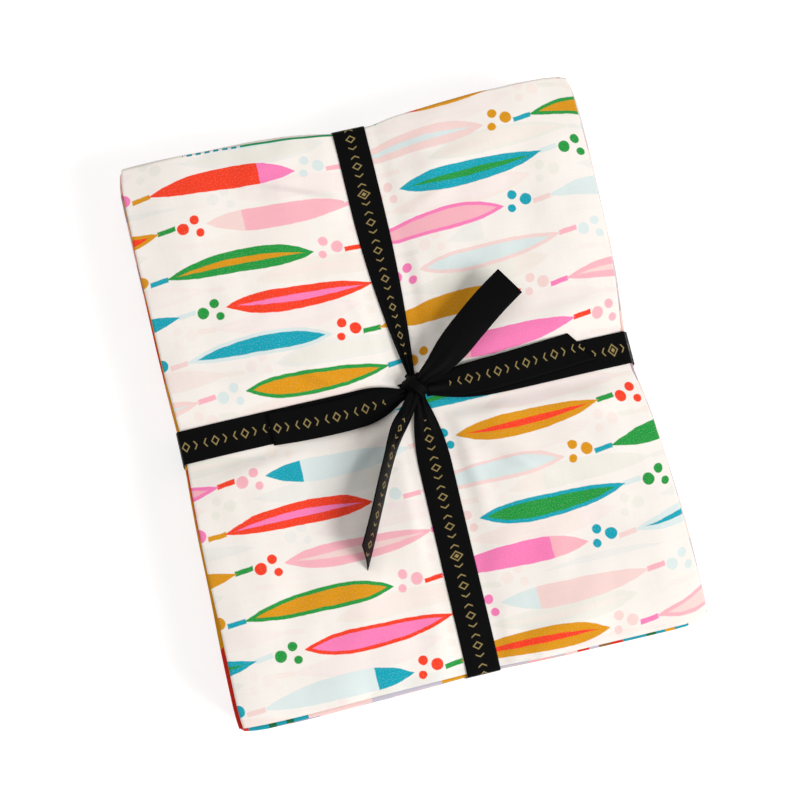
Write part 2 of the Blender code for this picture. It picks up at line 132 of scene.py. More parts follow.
def height(x, y, level):
    """Z of the layer that lies at this level where nothing presses on the stack."""
    share = level / TOP_LEVEL
    groove = pressed(x, GROOVE_X, GROOVE_REACH) + pressed(y, GROOVE_Y, GROOVE_REACH)
    fall = TOP_GROOVE * groove
    fall += TOP_FALL * (by_edge(x, HALF_X, TOP_EDGE) + by_edge(y, HALF_Y, TOP_EDGE))
    over_ribbon = pressed(x, GROOVE_X, BASE_REACH) + pressed(y, GROOVE_Y, BASE_REACH)
    rise = BASE_GROOVE * over_ribbon
    rise += BASE_RISE * (by_edge(x, HALF_X, BASE_EDGE) + by_edge(y, HALF_Y, BASE_EDGE))
    lift = ripple(x, y, level) * min(level / CALM_BASE, 1.0)
    return level + (1 - share) * rise - share * fall + lift


def pull(side, level):
    """How far a ribbon draws an edge in: most at the top and the base of the stack."""
    from_middle = 2 * level / TOP_LEVEL - 1
    return PULL[side] * (PULL_HALFWAY_UP + (1 - PULL_HALFWAY_UP) * from_middle**2)


def edge(index, side, along, level, layer):
    """Where an edge of a quarter runs, this far along it. Layer is -1 for the lower half of
    the fold and 1 for the upper, whose raw edges don't quite meet."""
    quarter = QUARTERS[index]
    sign = 1 if side in ("right", "back") else -1
    if side in ("left", "right"):
        half, groove = HALF_X, GROOVE_Y
        loose = quarter.shift_x / 1000 - math.radians(quarter.turn) * along
    else:
        half, groove = HALF_Y, GROOVE_X
        loose = quarter.shift_y / 1000 + math.radians(quarter.turn) * along
    seed = index * 3.7 + 17 * ("left", "right", "front", "back").index(side)
    if sign > 0:
        loose += layer * quarter.uneven / 2000
        seed += 1.3 * layer
    loose += EDGE_WAVE * noise.noise(Vector((along / WAVE_LENGTH, seed, 0)))
    hold = math.exp(-max(abs(along - groove) - GROOVE_FLOOR, 0.0) / HOLD_REACH)
    half -= CUT_SHORT.get(index, {}).get(side, 0.0)
    slip = 0.0
    if (index, side) == (TOP, "back"):
        slip = RAW_SLIP * math.exp(-(((along - RAW_SLIP_MIDDLE) / RAW_SLIP_SPREAD) ** 4))
    if (index, side) == (TOP, "front"):
        half += SKEW * eased((along - SKEW_FROM) / SKEW_OVER)
    return sign * (half - pull(side, level) * hold) + loose * (1 - hold) - layer * slip / 2


CORNER_REACH = 0.014
TOP_TUCK = {  # how far each soft corner is drawn in, in X and in Y
    ("left", "back"): (0.0020, 0.0005),
    ("right", "back"): (0.0015, 0.0024),
    ("right", "front"): (0.0008, 0.0038),
    ("left", "front"): (0.0005, 0.0004),
}
LOWER_TUCK = {**TOP_TUCK, ("left", "front"): (0.0008, 0.0017)}  # the same for the rest


def corner_tuck(x, y, tucks):
    """How far the soft corner next to this place draws its edges in, in X and in Y."""
    tuck_x, tuck_y = tucks["left" if x < 0 else "right", "front" if y < 0 else "back"]
    along_x, along_y = by_edge(x, HALF_X, CORNER_REACH), by_edge(y, HALF_Y, CORNER_REACH)
    return tuck_x * along_y, tuck_y * along_x


Stop = namedtuple("Stop", "line turn cut")  # place, fold angle and distance from the raw edge


def fold_walk(half, lower_lines, upper_lines, nose_steps):
    """The way along a cloth folded in half: in from its raw edge under, round, and back."""
    walk = [Stop(line, -math.pi / 2, half - line) for line in reversed(lower_lines)]
    for step in range(1, nose_steps):
        walk.append(Stop(-half, math.pi * (step / nose_steps - 0.5), 2 * half))
    return walk + [Stop(line, math.pi / 2, 3 * half + line) for line in upper_lines]


def lines_across(half, step):
    """Where the mesh has lines in one direction: evenly, and closer by the edges."""
    by_the_edge = [0.0, 0.0012, 0.0030, 0.0060]
    inner = half - 0.0110
    count = math.ceil(2 * inner / step)
    even = [-inner + 2 * inner * index / count for index in range(count + 1)]
    first, last = [place - half for place in by_the_edge], [half - place for place in by_the_edge]
    return [*first, *even, *reversed(last)]


def folded_cloth(name, index, across, along, swell, tucks):
    """Four layers of one cut. Swell lifts its points, and tucks soften its corners."""
    base = FOOT + index * QUARTER_PITCH
    bm = bmesh.new()
    bmesh.ops.create_grid(bm, x_segments=len(across) - 1, y_segments=len(along) - 1, size=0.5)
    cut = bm.loops.layers.uv.new("cut")
    stops = {}
    for vert in bm.verts:
        column = across[round((vert.co.x + 0.5) * (len(across) - 1))]
        row = along[round((vert.co.y + 0.5) * (len(along) - 1))]
        stops[vert] = (column.cut, row.cut)
        radius = (1 - math.sin(column.turn) / 2) * LAYER_PITCH
        over = radius * math.sin(row.turn)
        level = base + 1.5 * LAYER_PITCH + over
        x, y = column.line, row.line
        tuck_x, tuck_y = corner_tuck(x, y, tucks)
        left = edge(index, "left", y, level, 0) + tuck_x
        right = edge(index, "right", y, level, math.sin(column.turn)) - tuck_x
        front = edge(index, "front", x, level, 0) + tuck_y
        back = edge(index, "back", x, level, math.sin(row.turn)) - tuck_y
        at_x = left + (right - left) * (x / HALF_X + 1) / 2
        at_y = front + (back - front) * (y / HALF_Y + 1) / 2
        if x == across[len(across) // 2].line:
            at_x += (1 - math.cos(column.turn)) * LAYER_PITCH / 2
        if y == along[len(along) // 2].line:
            at_y += 1.5 * LAYER_PITCH - radius * math.cos(row.turn)
        lift = swell(at_x, at_y) * (0.7 + 0.3 * over / (1.5 * LAYER_PITCH))
        vert.co = Vector((at_x, at_y, height(at_x, at_y, level) + lift))
    for face in bm.faces:
        for loop in face.loops:
            loop[cut].uv = stops[loop.vert]
    bmesh.ops.reverse_faces(bm, faces=bm.faces)  # the printed side is the outer one
    return finish_cloth(name, bm, CLOTH)


def finish_cloth(name, bm, thickness):
    """The bmesh as a smooth sheet of this thickness. Its second material is the wrong side."""
    mesh = bpy.data.meshes.new(name)
    bm.to_mesh(mesh)
    bm.free()
    mesh.shade_smooth()
    piece = bpy.data.objects.new(name, mesh)
    bpy.context.scene.collection.objects.link(piece)
    solid = piece.modifiers.new("thickness", "SOLIDIFY")
    solid.thickness = thickness
    solid.offset = 0
    solid.use_quality_normals = True
    solid.material_offset = 1
    solid.material_offset_rim = 1
    return piece


def node(tree, kind, inputs=(), **settings):
    """A shader node. Inputs maps a socket's name or number to a value or to another socket."""
    made = tree.nodes.new(kind)
    for key, value in settings.items():
        setattr(made, key, value)
    for key, value in dict(inputs).items():
        if isinstance(value, bpy.types.NodeSocket):
            tree.links.new(value, made.inputs[key])
        else:
            made.inputs[key].default_value = value
    return made


def sums(tree, operation, *values):
    """The result of a Math node."""
    return node(tree, "ShaderNodeMath", enumerate(values), operation=operation).outputs[0]


def vectors(tree, operation, *values):
    """The result of a Vector Math node."""
    return node(tree, "ShaderNodeVectorMath", enumerate(values), operation=operation).outputs[0]


def across_and_along(tree, place):
    """The first two coordinates of a place."""
    split = node(tree, "ShaderNodeSeparateXYZ", {0: place})
    return split.outputs[0], split.outputs[1]


def group(name, inputs, outputs):
    """A new node group with its input and output nodes. Inputs maps a name to its default."""
    tree = bpy.data.node_groups.new(name, "ShaderNodeTree")
    for socket_name, default in inputs.items():
        if default is None:
            tree.interface.new_socket(socket_name, in_out="INPUT", socket_type="NodeSocketVector")
            continue
        kind = "NodeSocketFloat" if isinstance(default, float) else "NodeSocketColor"
        made = tree.interface.new_socket(socket_name, in_out="INPUT", socket_type=kind)
        made.default_value = default
    for socket_name, kind in outputs.items():
        tree.interface.new_socket(socket_name, in_out="OUTPUT", socket_type=kind)
    return tree, node(tree, "NodeGroupInput"), node(tree, "NodeGroupOutput")


def placed(tree, inner, inputs):
    """A node group placed in a material."""
    return node(tree, "ShaderNodeGroup", inputs, node_tree=inner)


def mixed(tree, share, first, second):
    """A colour between two."""
    made = node(tree, "ShaderNodeMix", {0: share, 6: first, 7: second}, data_type="RGBA")
    return made.outputs[2]


# Plain weave: yarns over and under at the pitch of quilting cotton, each yarn a little
# thicker or thinner along its way, and the slight crumple that folding leaves.
weave, weave_in, weave_out = group(
    "plain_weave",
    {"Cut": None, "Pitch": 0.0004},
    {"Height": "NodeSocketFloat", "Yarn": "NodeSocketFloat", "Crumple": "NodeSocketFloat"},
)
weave_sum = partial(sums, weave)
cut = weave_in.outputs["Cut"]
turns = weave_sum("DIVIDE", math.pi, weave_in.outputs["Pitch"])
warp, weft = (
    weave_sum("COSINE", weave_sum("MULTIPLY", place, turns)) for place in across_and_along(weave, cut)
)
height_of_yarns = weave_sum("MULTIPLY_ADD", weave_sum("MULTIPLY", warp, weft), 0.5, 0.5)
weave.links.new(height_of_yarns, weave_out.inputs["Height"])
yarns = []
for scale in ((35, 2400, 1), (2400, 35, 1)):
    stretched = vectors(weave, "MULTIPLY", cut, scale)
    yarn = node(weave, "ShaderNodeTexNoise", {"Vector": stretched, "Scale": 1.0, "Detail": 1.0})
    yarns.append(yarn.outputs[0])
weave.links.new(weave_sum("MULTIPLY", weave_sum("ADD", *yarns), 0.5), weave_out.inputs["Yarn"])
crumple = node(weave, "ShaderNodeTexNoise", {"Vector": cut, "Scale": 90.0, "Detail": 4.0})
weave.links.new(crumple.outputs[0], weave_out.inputs["Crumple"])

# Small prints of the lower quarters: half-drop dots or bars of a second colour.
small_print, print_in, print_out = group(
    "small_print", {"Cut": None, "Pitch": 0.014, "Dot": 0.25, "Bar": 0.0}, {"Mask": "NodeSocketFloat"}
)
print_sum = partial(sums, small_print)
across_cells, along_cells = (
    print_sum("DIVIDE", place, print_in.outputs["Pitch"])
    for place in across_and_along(small_print, print_in.outputs["Cut"])
)
odd = print_sum("FLOORED_MODULO", print_sum("FLOOR", along_cells), 2.0)
dropped = print_sum("ADD", across_cells, print_sum("MULTIPLY", odd, 0.5))
squares = []
for cells in (dropped, along_cells):
    from_middle = print_sum("SUBTRACT", print_sum("FRACT", cells), 0.5)
    squares.append(print_sum("MULTIPLY", from_middle, from_middle))
reach = print_sum("SQRT", print_sum("ADD", *squares))
dots = print_sum("LESS_THAN", reach, print_in.outputs["Dot"])
skew = print_sum("FRACT", print_sum("ADD", across_cells, along_cells))
bars = print_sum("LESS_THAN", skew, print_in.outputs["Bar"])
small_print.links.new(print_sum("MAXIMUM", dots, bars), print_out.inputs["Mask"])

WEAVE_RELIEF, CRUMPLE_RELIEF = 0.00005, 0.00035
BARE_COTTON = (0.78, 0.73, 0.67, 1)


def cotton_shader(tree, colour, cut):
    """Matt cotton of this colour, with its weave, uneven yarns and crumple."""
    woven = placed(tree, weave, {"Cut": cut})
    shade = sums(tree, "MULTIPLY_ADD", woven.outputs["Yarn"], 0.11, 0.945)
    toned = vectors(tree, "MULTIPLY", colour, shade)
    soft = node(tree, "ShaderNodeBump", {"Height": woven.outputs["Crumple"], "Distance": CRUMPLE_RELIEF})
    fine = {"Height": woven.outputs["Height"], "Distance": WEAVE_RELIEF, "Normal": soft.outputs[0]}
    bump = node(tree, "ShaderNodeBump", fine)
    shader = tree.nodes["Principled BSDF"]
    tree.links.new(toned, shader.inputs["Base Color"])
    tree.links.new(bump.outputs[0], shader.inputs["Normal"])
    shader.inputs["Roughness"].default_value = 0.88
    shader.inputs["Specular IOR Level"].default_value = 0.14
    shader.inputs["Sheen Weight"].default_value = 0.07
    shader.inputs["Sheen Roughness"].default_value = 0.5


def material(name):
    """A new material and its node tree."""
    made = bpy.data.materials.new(name)
    made.use_nodes = True
    return made, made.node_tree


def cut_places(tree):
    """Places on the cloth as it was cut, in metres."""
    return node(tree, "ShaderNodeUVMap", uv_map="cut").outputs[0]


def small_printed_cotton(name, ground, mark, pitch, dot, bar):
    """The right side and the paler wrong side of a quarter with a small print."""
    sides = []
    for side, fade in (("right", 0.0), ("wrong", 0.45)):
        made, tree = material(f"{name}_cotton_{side}_side")
        cut = cut_places(tree)
        printed = placed(tree, small_print, {"Cut": cut, "Pitch": pitch, "Dot": dot, "Bar": bar})
        colour = mixed(tree, printed.outputs[0], (*ground, 1), (*mark, 1))
        cotton_shader(tree, mixed(tree, fade, colour, BARE_COTTON), cut)
        sides.append(made)
    return sides


Print = namedtuple("Print", "ground mark pitch dot bar")
PRINTS = {
    "cream": Print((0.80, 0.74, 0.64), (0.66, 0.30, 0.01), 0.021, 0.20, 0.0),
    "mustard": Print((0.66, 0.30, 0.005), (0.82, 0.77, 0.68), 0.026, 0.16, 0.0),
    "teal": Print((0.004, 0.35, 0.46), (0.01, 0.12, 0.09), 0.034, 0.0, 0.30),
    "aqua": Print((0.64, 0.72, 0.70), (0.82, 0.42, 0.42), 0.024, 0.22, 0.0),
    "green": Print((0.015, 0.27, 0.045), (0.74, 0.78, 0.68), 0.018, 0.18, 0.0),
    "coral": Print((0.86, 0.06, 0.02), (0.86, 0.60, 0.55), 0.030, 0.0, 0.22),
    "red": Print((0.62, 0.016, 0.008), (0.66, 0.30, 0.01), 0.028, 0.0, 0.34),
    "magenta": Print((0.84, 0.17, 0.44), (0.84, 0.78, 0.74), 0.020, 0.19, 0.0),
    "pink": Print((0.84, 0.40, 0.42), (0.84, 0.07, 0.02), 0.022, 0.15, 0.0),
    "blush": Print((0.80, 0.58, 0.54), (0.40, 0.34, 0.44), 0.036, 0.0, 0.40),
}
printed_cottons = {name: small_printed_cotton(name, *PRINTS[name]) for name in PRINTS}
WIDE_BARS = Print((0.60, 0.020, 0.008), (0.62, 0.28, 0.004), 0.27125, 0.0, 0.48)

# Two quarters show beside the top one: the second below it in wide bars of red and gold, and the first in
# broad blocks of many colours, which start at these millimetres along each edge. Its grey blocks are
# painted shade: pale print where the rounded edge turns away from the light.
BLOCK_COLOURS = {
    "gold": (0.64, 0.29, 0.01),
    "brown": (0.27, 0.11, 0.03),
    "red": (0.60, 0.025, 0.01),
    "pink": (0.84, 0.40, 0.45),
    "blush": (0.80, 0.56, 0.53),
    # painted shade: the grey that pale print takes on the rounded edge, where it turns away from the light
    "painted_shade_grey": (0.50, 0.47, 0.54),
    "teal": (0.01, 0.30, 0.38),
    "green": (0.01, 0.13, 0.05),
    "cream": (0.82, 0.77, 0.71),
}
FRONT_BLOCKS = (
    (-150, "teal"), (-101, "green"), (-98, "teal"), (-93, "green"), (-90, "teal"), (-83, "blush"),
    (-52, "painted_shade_grey"), (-18, "gold"), (10, "painted_shade_grey"), (24, "pink"), (34, "painted_shade_grey"), (42, "blush"),
    (47, "red"), (53, "painted_shade_grey"), (58, "brown"), (64, "red"), (70, "teal"), (82, "green"),
    (86, "teal"), (91, "gold"), (96, "teal"), (103, "cream"),
)
BACK_BLOCKS = (
    (-150, "pink"), (-108, "cream"), (-21, "gold"), (13, "brown"), (17, "cream"), (31, "pink"),
    (36, "cream"), (44, "red"), (67, "gold"), (95, "cream"), (104, "gold"),
)
LEFT_BLOCKS = ((-150, "red"), (-101, "gold"), (-46, "red"), (-12, "gold"), (123, "red"))
RIGHT_BLOCKS = (
    (-150, "cream"), (-88, "gold"), (-66, "cream"), (22, "gold"), (28, "cream"), (106, "gold"),
)
LEFT_FROM, RIGHT_FROM = -0.1105, 0.1045  # where the blocks of the left and right edges begin
BLOCKS_LONG = 0.3  # the colour ramp's length over the cloth, with its middle at 0


def stepped(tree, share, stops):
    """Flat colours, each from its place in the share from 0 to 1 on."""
    ramp = node(tree, "ShaderNodeValToRGB", {0: share})
    ramp.color_ramp.interpolation = "CONSTANT"
    elements = ramp.color_ramp.elements
    while len(elements) < len(stops):
        elements.new(1.0)
    for element, (place, colour) in zip(elements, stops):
        element.position = place
        element.color = (*colour, 1)
    return ramp.outputs[0]


def blocks_along(tree, place, blocks):
    """The colours of these blocks along one axis, with place in metres."""
    share = sums(tree, "MULTIPLY_ADD", place, 1 / BLOCKS_LONG, 0.5)
    stops = [(start / 1000 / BLOCKS_LONG + 0.5, BLOCK_COLOURS[name]) for start, name in blocks]
    return stepped(tree, share, stops)


def block_printed_cotton():
    """The right and the wrong side of the quarter with the broad blocks."""
    sides = []
    for side, fade in (("right", 0.0), ("wrong", 0.3)):
        made, tree = material(f"block_cotton_{side}_side")
        x, y = across_and_along(tree, node(tree, "ShaderNodeTexCoord").outputs["Object"])
        colour = blocks_along(tree, x, FRONT_BLOCKS)
        for where, along, blocks in (
            (sums(tree, "GREATER_THAN", y, 0.0), x, BACK_BLOCKS),
            (sums(tree, "LESS_THAN", x, LEFT_FROM), y, LEFT_BLOCKS),
            (sums(tree, "GREATER_THAN", x, RIGHT_FROM), y, RIGHT_BLOCKS),
        ):
            colour = mixed(tree, where, colour, blocks_along(tree, along, blocks))
        cotton_shader(tree, mixed(tree, fade, colour, BARE_COTTON), cut_places(tree))
        sides.append(made)
    return sides


edge_cottons = {TOP - 2: small_printed_cotton("wide_bar", *WIDE_BARS), TOP - 1: block_printed_cotton()}

LOWER_STEP = 0.009
lower_x, lower_y = lines_across(HALF_X, LOWER_STEP), lines_across(HALF_Y, LOWER_STEP)
across = fold_walk(HALF_X, lower_x, lower_x, 4)
along = fold_walk(HALF_Y, lower_y, lower_y, 5)
for index, quarter in enumerate(QUARTERS[:-1]):
    node_name = f"fat_quarter_{index + 1:02d}"
    piece = folded_cloth(
        f"folded_quarter_{index + 1:02d}", index, across, along, lambda x, y: 0.0, LOWER_TUCK
    )
    for made in edge_cottons.get(index, printed_cottons[quarter.colour]):
        piece.data.materials.append(made)
    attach(piece, "root")
    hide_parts(node_name)


# ---------------------------------------------------------------------------------------
# The top quarter: off-white quilting cotton with a print of slim leaves, cut a little short
# and folded like the others. It lies loosest, so the ribbons drag it into shallow puckers.
Pucker = namedtuple("Pucker", "x1 y1 x2 y2 width height")  # millimetres, with soft ends
PUCKERS = (
    Pucker(-55, 114, -11, 98, 2.6, 2.2),
    Pucker(-43, 105, -7, 92, 4.5, 1.5),
    Pucker(26, 104, 61, 109, 5.0, 1.8),
    Pucker(16, 84, 44, 96, 4.0, 1.0),
    Pucker(-53, 25, -29, 8, 3.0, 2.2),
    Pucker(-106, 25, -49, 18, 8.0, 2.2),
    Pucker(-68, 37, -19, 13, 6.0, 1.2),
    Pucker(14, 14, 40, 35, 3.5, 1.2),
    Pucker(30, -32, 54, -52, 3.5, 2.2),
    Pucker(18, -14, 69, -24, 5.0, 1.5),
    Pucker(-15, -12, -41, -32, 4.0, 1.5),
    Pucker(-19, 58, -8, 21, 3.5, 1.2),
    Pucker(16, 62, 9, 23, 3.5, 1.2),
    Pucker(18, -20, 22, -67, 4.0, 1.2),
    Pucker(-10, -28, -12, -81, 4.0, 1.2),
    Pucker(59, 17, 103, 23, 6.0, 1.5),
    Pucker(63, -18, 105, -28, 6.0, 1.8),
    Pucker(-59, -16, -102, -24, 6.0, 1.5),
    Pucker(-21, 131, -53, 121, 5.0, 1.2),
    Pucker(20, 133, 52, 125, 5.0, 1.2),
    Pucker(24, -130, 61, -120, 5.0, 1.2),
    Pucker(-19, -130, -59, -122, 5.0, 1.0),
)
SWELL = 0.0014  # the loose cloth between the creases
SWELL_REACH = 0.005  # how soon it lies flat by a ribbon
BROAD_WAVE, FINE_WAVE = (0.030, 0.045), (0.013, 0.019)


def swell(x, y):
    """How far the top cloth stands off the stack: its puckers and broad loose waves."""
    here = Vector((x * 1000, y * 1000))
    total = 0.0
    for pucker in PUCKERS:
        start, end = Vector((pucker.x1, pucker.y1)), Vector((pucker.x2, pucker.y2))
        run = end - start
        share = (here - start).dot(run) / run.length_squared
        nearest = start + run * min(max(share, 0.0), 1.0)
        away = (here - nearest).length / pucker.width
        if away < 3:
            taper = 0.35 + 0.65 * math.sin(math.pi * min(max(share, 0.0), 1.0))
            total += pucker.height / 1000 * taper * math.exp(-away * away)
    free = 1 - max(pressed(x, GROOVE_X, SWELL_REACH), pressed(y, GROOVE_Y, SWELL_REACH))
    broad = noise.noise(Vector((x / BROAD_WAVE[0], y / BROAD_WAVE[1], 4.2)))
    broad += 0.7 * noise.noise(Vector((x / FINE_WAVE[0], y / FINE_WAVE[1], 9.7)))
    return free * (total + SWELL * (broad + 1))


# Slim leaves in a half-drop layout, each with a stem and three berries. By turns a leaf has
# a midrib, a border or a tip in another colour of the collection, and every other row
# points the other way. The two palest colours almost sink into the ground.
LEAF_ROW, LEAF_REPEAT = 0.0210, 0.0960
HALF_BLADE, BLADE_MIDDLE = 0.0365, -0.0115
BLADE_WIDTH, BLADE_BEND = 0.0055, 0.0009  # half its width, and how far its rib bows
BORDER, TIP_FROM = 0.0018, 0.030
STEM_MIDDLE, HALF_STEM, STEM_WIDTH = 0.0285, 0.0045, 0.0012
BERRIES = ((0.0365, 0.0004, 0.0029), (0.0427, 0.0038, 0.0023), (0.0443, -0.0028, 0.0020))
BRUSH_WANDER = 0.0009
GROUND = (0.85, 0.795, 0.74)
LEAF_COLOURS = (
    (0.000, 0.335, 0.430),
    (0.860, 0.042, 0.010),
    (0.840, 0.610, 0.575),
    (0.010, 0.285, 0.042),
    (0.880, 0.195, 0.440),
    (0.660, 0.740, 0.725),
    (0.660, 0.275, 0.000),
    (0.870, 0.420, 0.475),
)


def palette(tree, number):
    """The leaf colour of this number, from 0 up."""
    count = len(LEAF_COLOURS)
    share = sums(tree, "DIVIDE", sums(tree, "ADD", number, 0.5), count)
    return stepped(tree, share, [(place / count, colour) for place, colour in enumerate(LEAF_COLOURS)])


def within(tree, distance, softness=0.00018):
    """1 where the distance is under 0, with an edge as soft as ink on cotton."""
    inputs = {"Value": distance, "From Min": -softness, "From Max": softness, "To Min": 1.0, "To Max": 0.0}
    return node(tree, "ShaderNodeMapRange", inputs).outputs[0]


leaves, leaves_in, leaves_out = group(
    "leaf_print", {"Cut": None, "Ground": (1, 1, 1, 1)}, {"Color": "NodeSocketColor"}
)
leaf_sum = partial(sums, leaves)
cut, ground = leaves_in.outputs["Cut"], leaves_in.outputs["Ground"]
bristle = node(leaves, "ShaderNodeTexNoise", {"Vector": cut, "Scale": 200.0, "Detail": 3.0})
wander = vectors(leaves, "SUBTRACT", bristle.outputs["Color"], (0.5, 0.5, 0.5))
wander = vectors(leaves, "MULTIPLY", wander, (BRUSH_WANDER, BRUSH_WANDER, BRUSH_WANDER))
x, y = across_and_along(leaves, vectors(leaves, "ADD", cut, wander))
rows = leaf_sum("DIVIDE", y, LEAF_ROW)
row = leaf_sum("FLOOR", rows)
odd = leaf_sum("FLOORED_MODULO", row, 2.0)
side = leaf_sum("MULTIPLY_ADD", odd, 2.0, -1.0)
columns = leaf_sum("MULTIPLY_ADD", odd, 0.5, leaf_sum("DIVIDE", x, LEAF_REPEAT))
column = leaf_sum("FLOOR", columns)
x = leaf_sum("MULTIPLY", leaf_sum("SUBTRACT", leaf_sum("FRACT", columns), 0.5), LEAF_REPEAT)
x = leaf_sum("MULTIPLY", x, side)
y = leaf_sum("MULTIPLY", leaf_sum("SUBTRACT", leaf_sum("FRACT", rows), 0.5), LEAF_ROW)
number = leaf_sum("ADD", leaf_sum("MULTIPLY", row, 3.0), leaf_sum("MULTIPLY", column, 7.0))
first, second, third = (
    palette(leaves, leaf_sum("FLOORED_MODULO", leaf_sum("ADD", number, step), float(len(LEAF_COLOURS))))
    for step in (0.0, 3.0, 5.0)
)
kind = leaf_sum("FLOORED_MODULO", leaf_sum("MULTIPLY_ADD", column, 2.0, row), 3.0)
# The blade: its half width at this share of its length, and how far off its rib a point is.
share = leaf_sum("DIVIDE", leaf_sum("SUBTRACT", x, BLADE_MIDDLE), HALF_BLADE)
square = leaf_sum("MULTIPLY", share, share)
bend = leaf_sum("MULTIPLY", side, leaf_sum("MULTIPLY_ADD", square, -2 * BLADE_BEND, BLADE_BEND))
off_rib = leaf_sum("ABSOLUTE", leaf_sum("SUBTRACT", y, bend))
taper = leaf_sum("SUBTRACT", 1.0, leaf_sum("MULTIPLY", square, leaf_sum("ABSOLUTE", share)))
half_blade = leaf_sum("MULTIPLY", taper, leaf_sum("MULTIPLY_ADD", share, -0.0012, BLADE_WIDTH))
to_edge = leaf_sum("SUBTRACT", off_rib, half_blade)
half_rib = leaf_sum("MULTIPLY", leaf_sum("SUBTRACT", 0.72, square), 0.0023)
rib = within(leaves, leaf_sum("SUBTRACT", off_rib, half_rib))
core = within(leaves, leaf_sum("ADD", to_edge, BORDER))
tip = within(leaves, leaf_sum("ADD", x, TIP_FROM))
marks = [
    leaf_sum("MULTIPLY", mask, leaf_sum("COMPARE", kind, float(turn), 0.1))
    for turn, mask in enumerate((rib, core, tip))
]
accent = leaf_sum("ADD", leaf_sum("ADD", *marks[:2]), marks[2])
beyond = leaf_sum("ABSOLUTE", leaf_sum("SUBTRACT", x, STEM_MIDDLE))
beyond = leaf_sum("SUBTRACT", beyond, HALF_STEM)
stem = within(leaves, leaf_sum("MAXIMUM", beyond, leaf_sum("SUBTRACT", off_rib, STEM_WIDTH)))
berries = 0.0
for at_x, at_y, radius in BERRIES:
    off_x, off_y = leaf_sum("SUBTRACT", x, at_x), leaf_sum("SUBTRACT", y, at_y)
    squares = leaf_sum("MULTIPLY_ADD", off_x, off_x, leaf_sum("MULTIPLY", off_y, off_y))
    berry = within(leaves, leaf_sum("SUBTRACT", leaf_sum("SQRT", squares), radius))
    berries = leaf_sum("MAXIMUM", berry, berries)
colour = mixed(leaves, stem, ground, third)
colour = mixed(leaves, within(leaves, to_edge), colour, mixed(leaves, accent, first, second))
colour = mixed(leaves, berries, colour, second)
# The ink has missed the backs of some yarns.
speck = node(leaves, "ShaderNodeTexNoise", {"Vector": cut, "Scale": 1500.0, "Detail": 1.0})
thin_ink = {0: speck.outputs[0], 1: 0.50, 2: 0.80, 3: 0.0, 4: 0.13}
missed = node(leaves, "ShaderNodeMapRange", thin_ink).outputs[0]
leaves.links.new(mixed(leaves, missed, colour, ground), leaves_out.inputs["Color"])

# The print of the layer beneath shows faintly through the pale ground. A thin printed line
# follows the cut's raw edge, dashed at one end.
SHOW_THROUGH = 0.075
LAYER_BENEATH = {"Location": (0.031, 0.0095, 0), "Scale": (-1, 1, 1)}
LINE_COLOURS = ((0.0, (0.02, 0.28, 0.10)), (0.366, (0.02, 0.30, 0.36)))
LINE_WIDTH, DASHES = 0.0011, 1400.0
LINE_MIDDLE, HALF_LINE, DASHED_FROM = 0.1595, 0.038, 0.167  # across the cloth as it was cut
leaf_cottons = []
for side_name, fade in (("right", 0.0), ("wrong", 0.6)):
    made, tree = material(f"leaf_cotton_{side_name}_side")
    line_sum = partial(sums, tree)
    cut = cut_places(tree)
    seen = node(tree, "ShaderNodeMapping", {"Vector": cut, **LAYER_BENEATH}).outputs[0]
    beneath = placed(tree, leaves, {"Cut": seen, "Ground": (*GROUND, 1)}).outputs[0]
    ground = mixed(tree, SHOW_THROUGH, (*GROUND, 1), beneath)
    printed = placed(tree, leaves, {"Cut": cut, "Ground": ground}).outputs[0]
    x, y = across_and_along(tree, cut)
    at_edge = line_sum("GREATER_THAN", y, CUT_Y - LINE_WIDTH)
    dash = line_sum("GREATER_THAN", line_sum("SINE", line_sum("MULTIPLY", x, DASHES)), -0.3)
    solid = line_sum("LESS_THAN", x, DASHED_FROM)
    shown = line_sum("MULTIPLY", at_edge, line_sum("MAXIMUM", dash, solid))
    shown = line_sum("MULTIPLY", shown, line_sum("COMPARE", x, LINE_MIDDLE, HALF_LINE))
    line = stepped(tree, line_sum("MULTIPLY", x, 1 / CUT_X), LINE_COLOURS)
    printed = mixed(tree, shown, printed, line)
    cotton_shader(tree, mixed(tree, fade, printed, (*GROUND, 1)), cut)
    leaf_cottons.append(made)

TOP_STEP, UNDER_STEP = 0.0016, 0.0065
across = fold_walk(HALF_X, lines_across(HALF_X, TOP_STEP), lines_across(HALF_X, UNDER_STEP), 5)
along = fold_walk(HALF_Y, lines_across(HALF_Y, UNDER_STEP), lines_across(HALF_Y, TOP_STEP), 6)
top_quarter = folded_cloth("folded_quarter_20", TOP, across, along, swell, TOP_TUCK)
for made in leaf_cottons:
    top_quarter.data.materials.append(made)
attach(top_quarter, "root")
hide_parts("fat_quarter_20")


# ---------------------------------------------------------------------------------------
# The two ribbons: thin black woven ribbon, 16 mm wide, with a gold ornament printed along
# one side. One goes round the stack crosswise. The other goes lengthwise, above it under the
# stack. Where the knot draws them together each is gathered into a few folds.
RIBBON_WIDTH, RIBBON = 0.016, 0.00034
SEAT = 0.00046  # from a layer of cloth to the ribbon that lies on it
KNOT_X, KNOT_Y = 0.0027, 0.0020
BAND_START, BAND_REACH = 0.0045, 0.0070  # hidden in the knot, and where it comes out of it
BAND_RISE, RISE_REACH = 0.0017, 0.030
CORNER_RADIUS, CORNER_RISE = 0.0012, 0.0003
ROW_STEP, SLANT_REACH = 0.0020, 0.012
BENEATH_STEPS = 70
FOLDS, FOLD_DEPTH = 2.2, 0.0008

Row = namedtuple("Row", "middle across width crest phase")
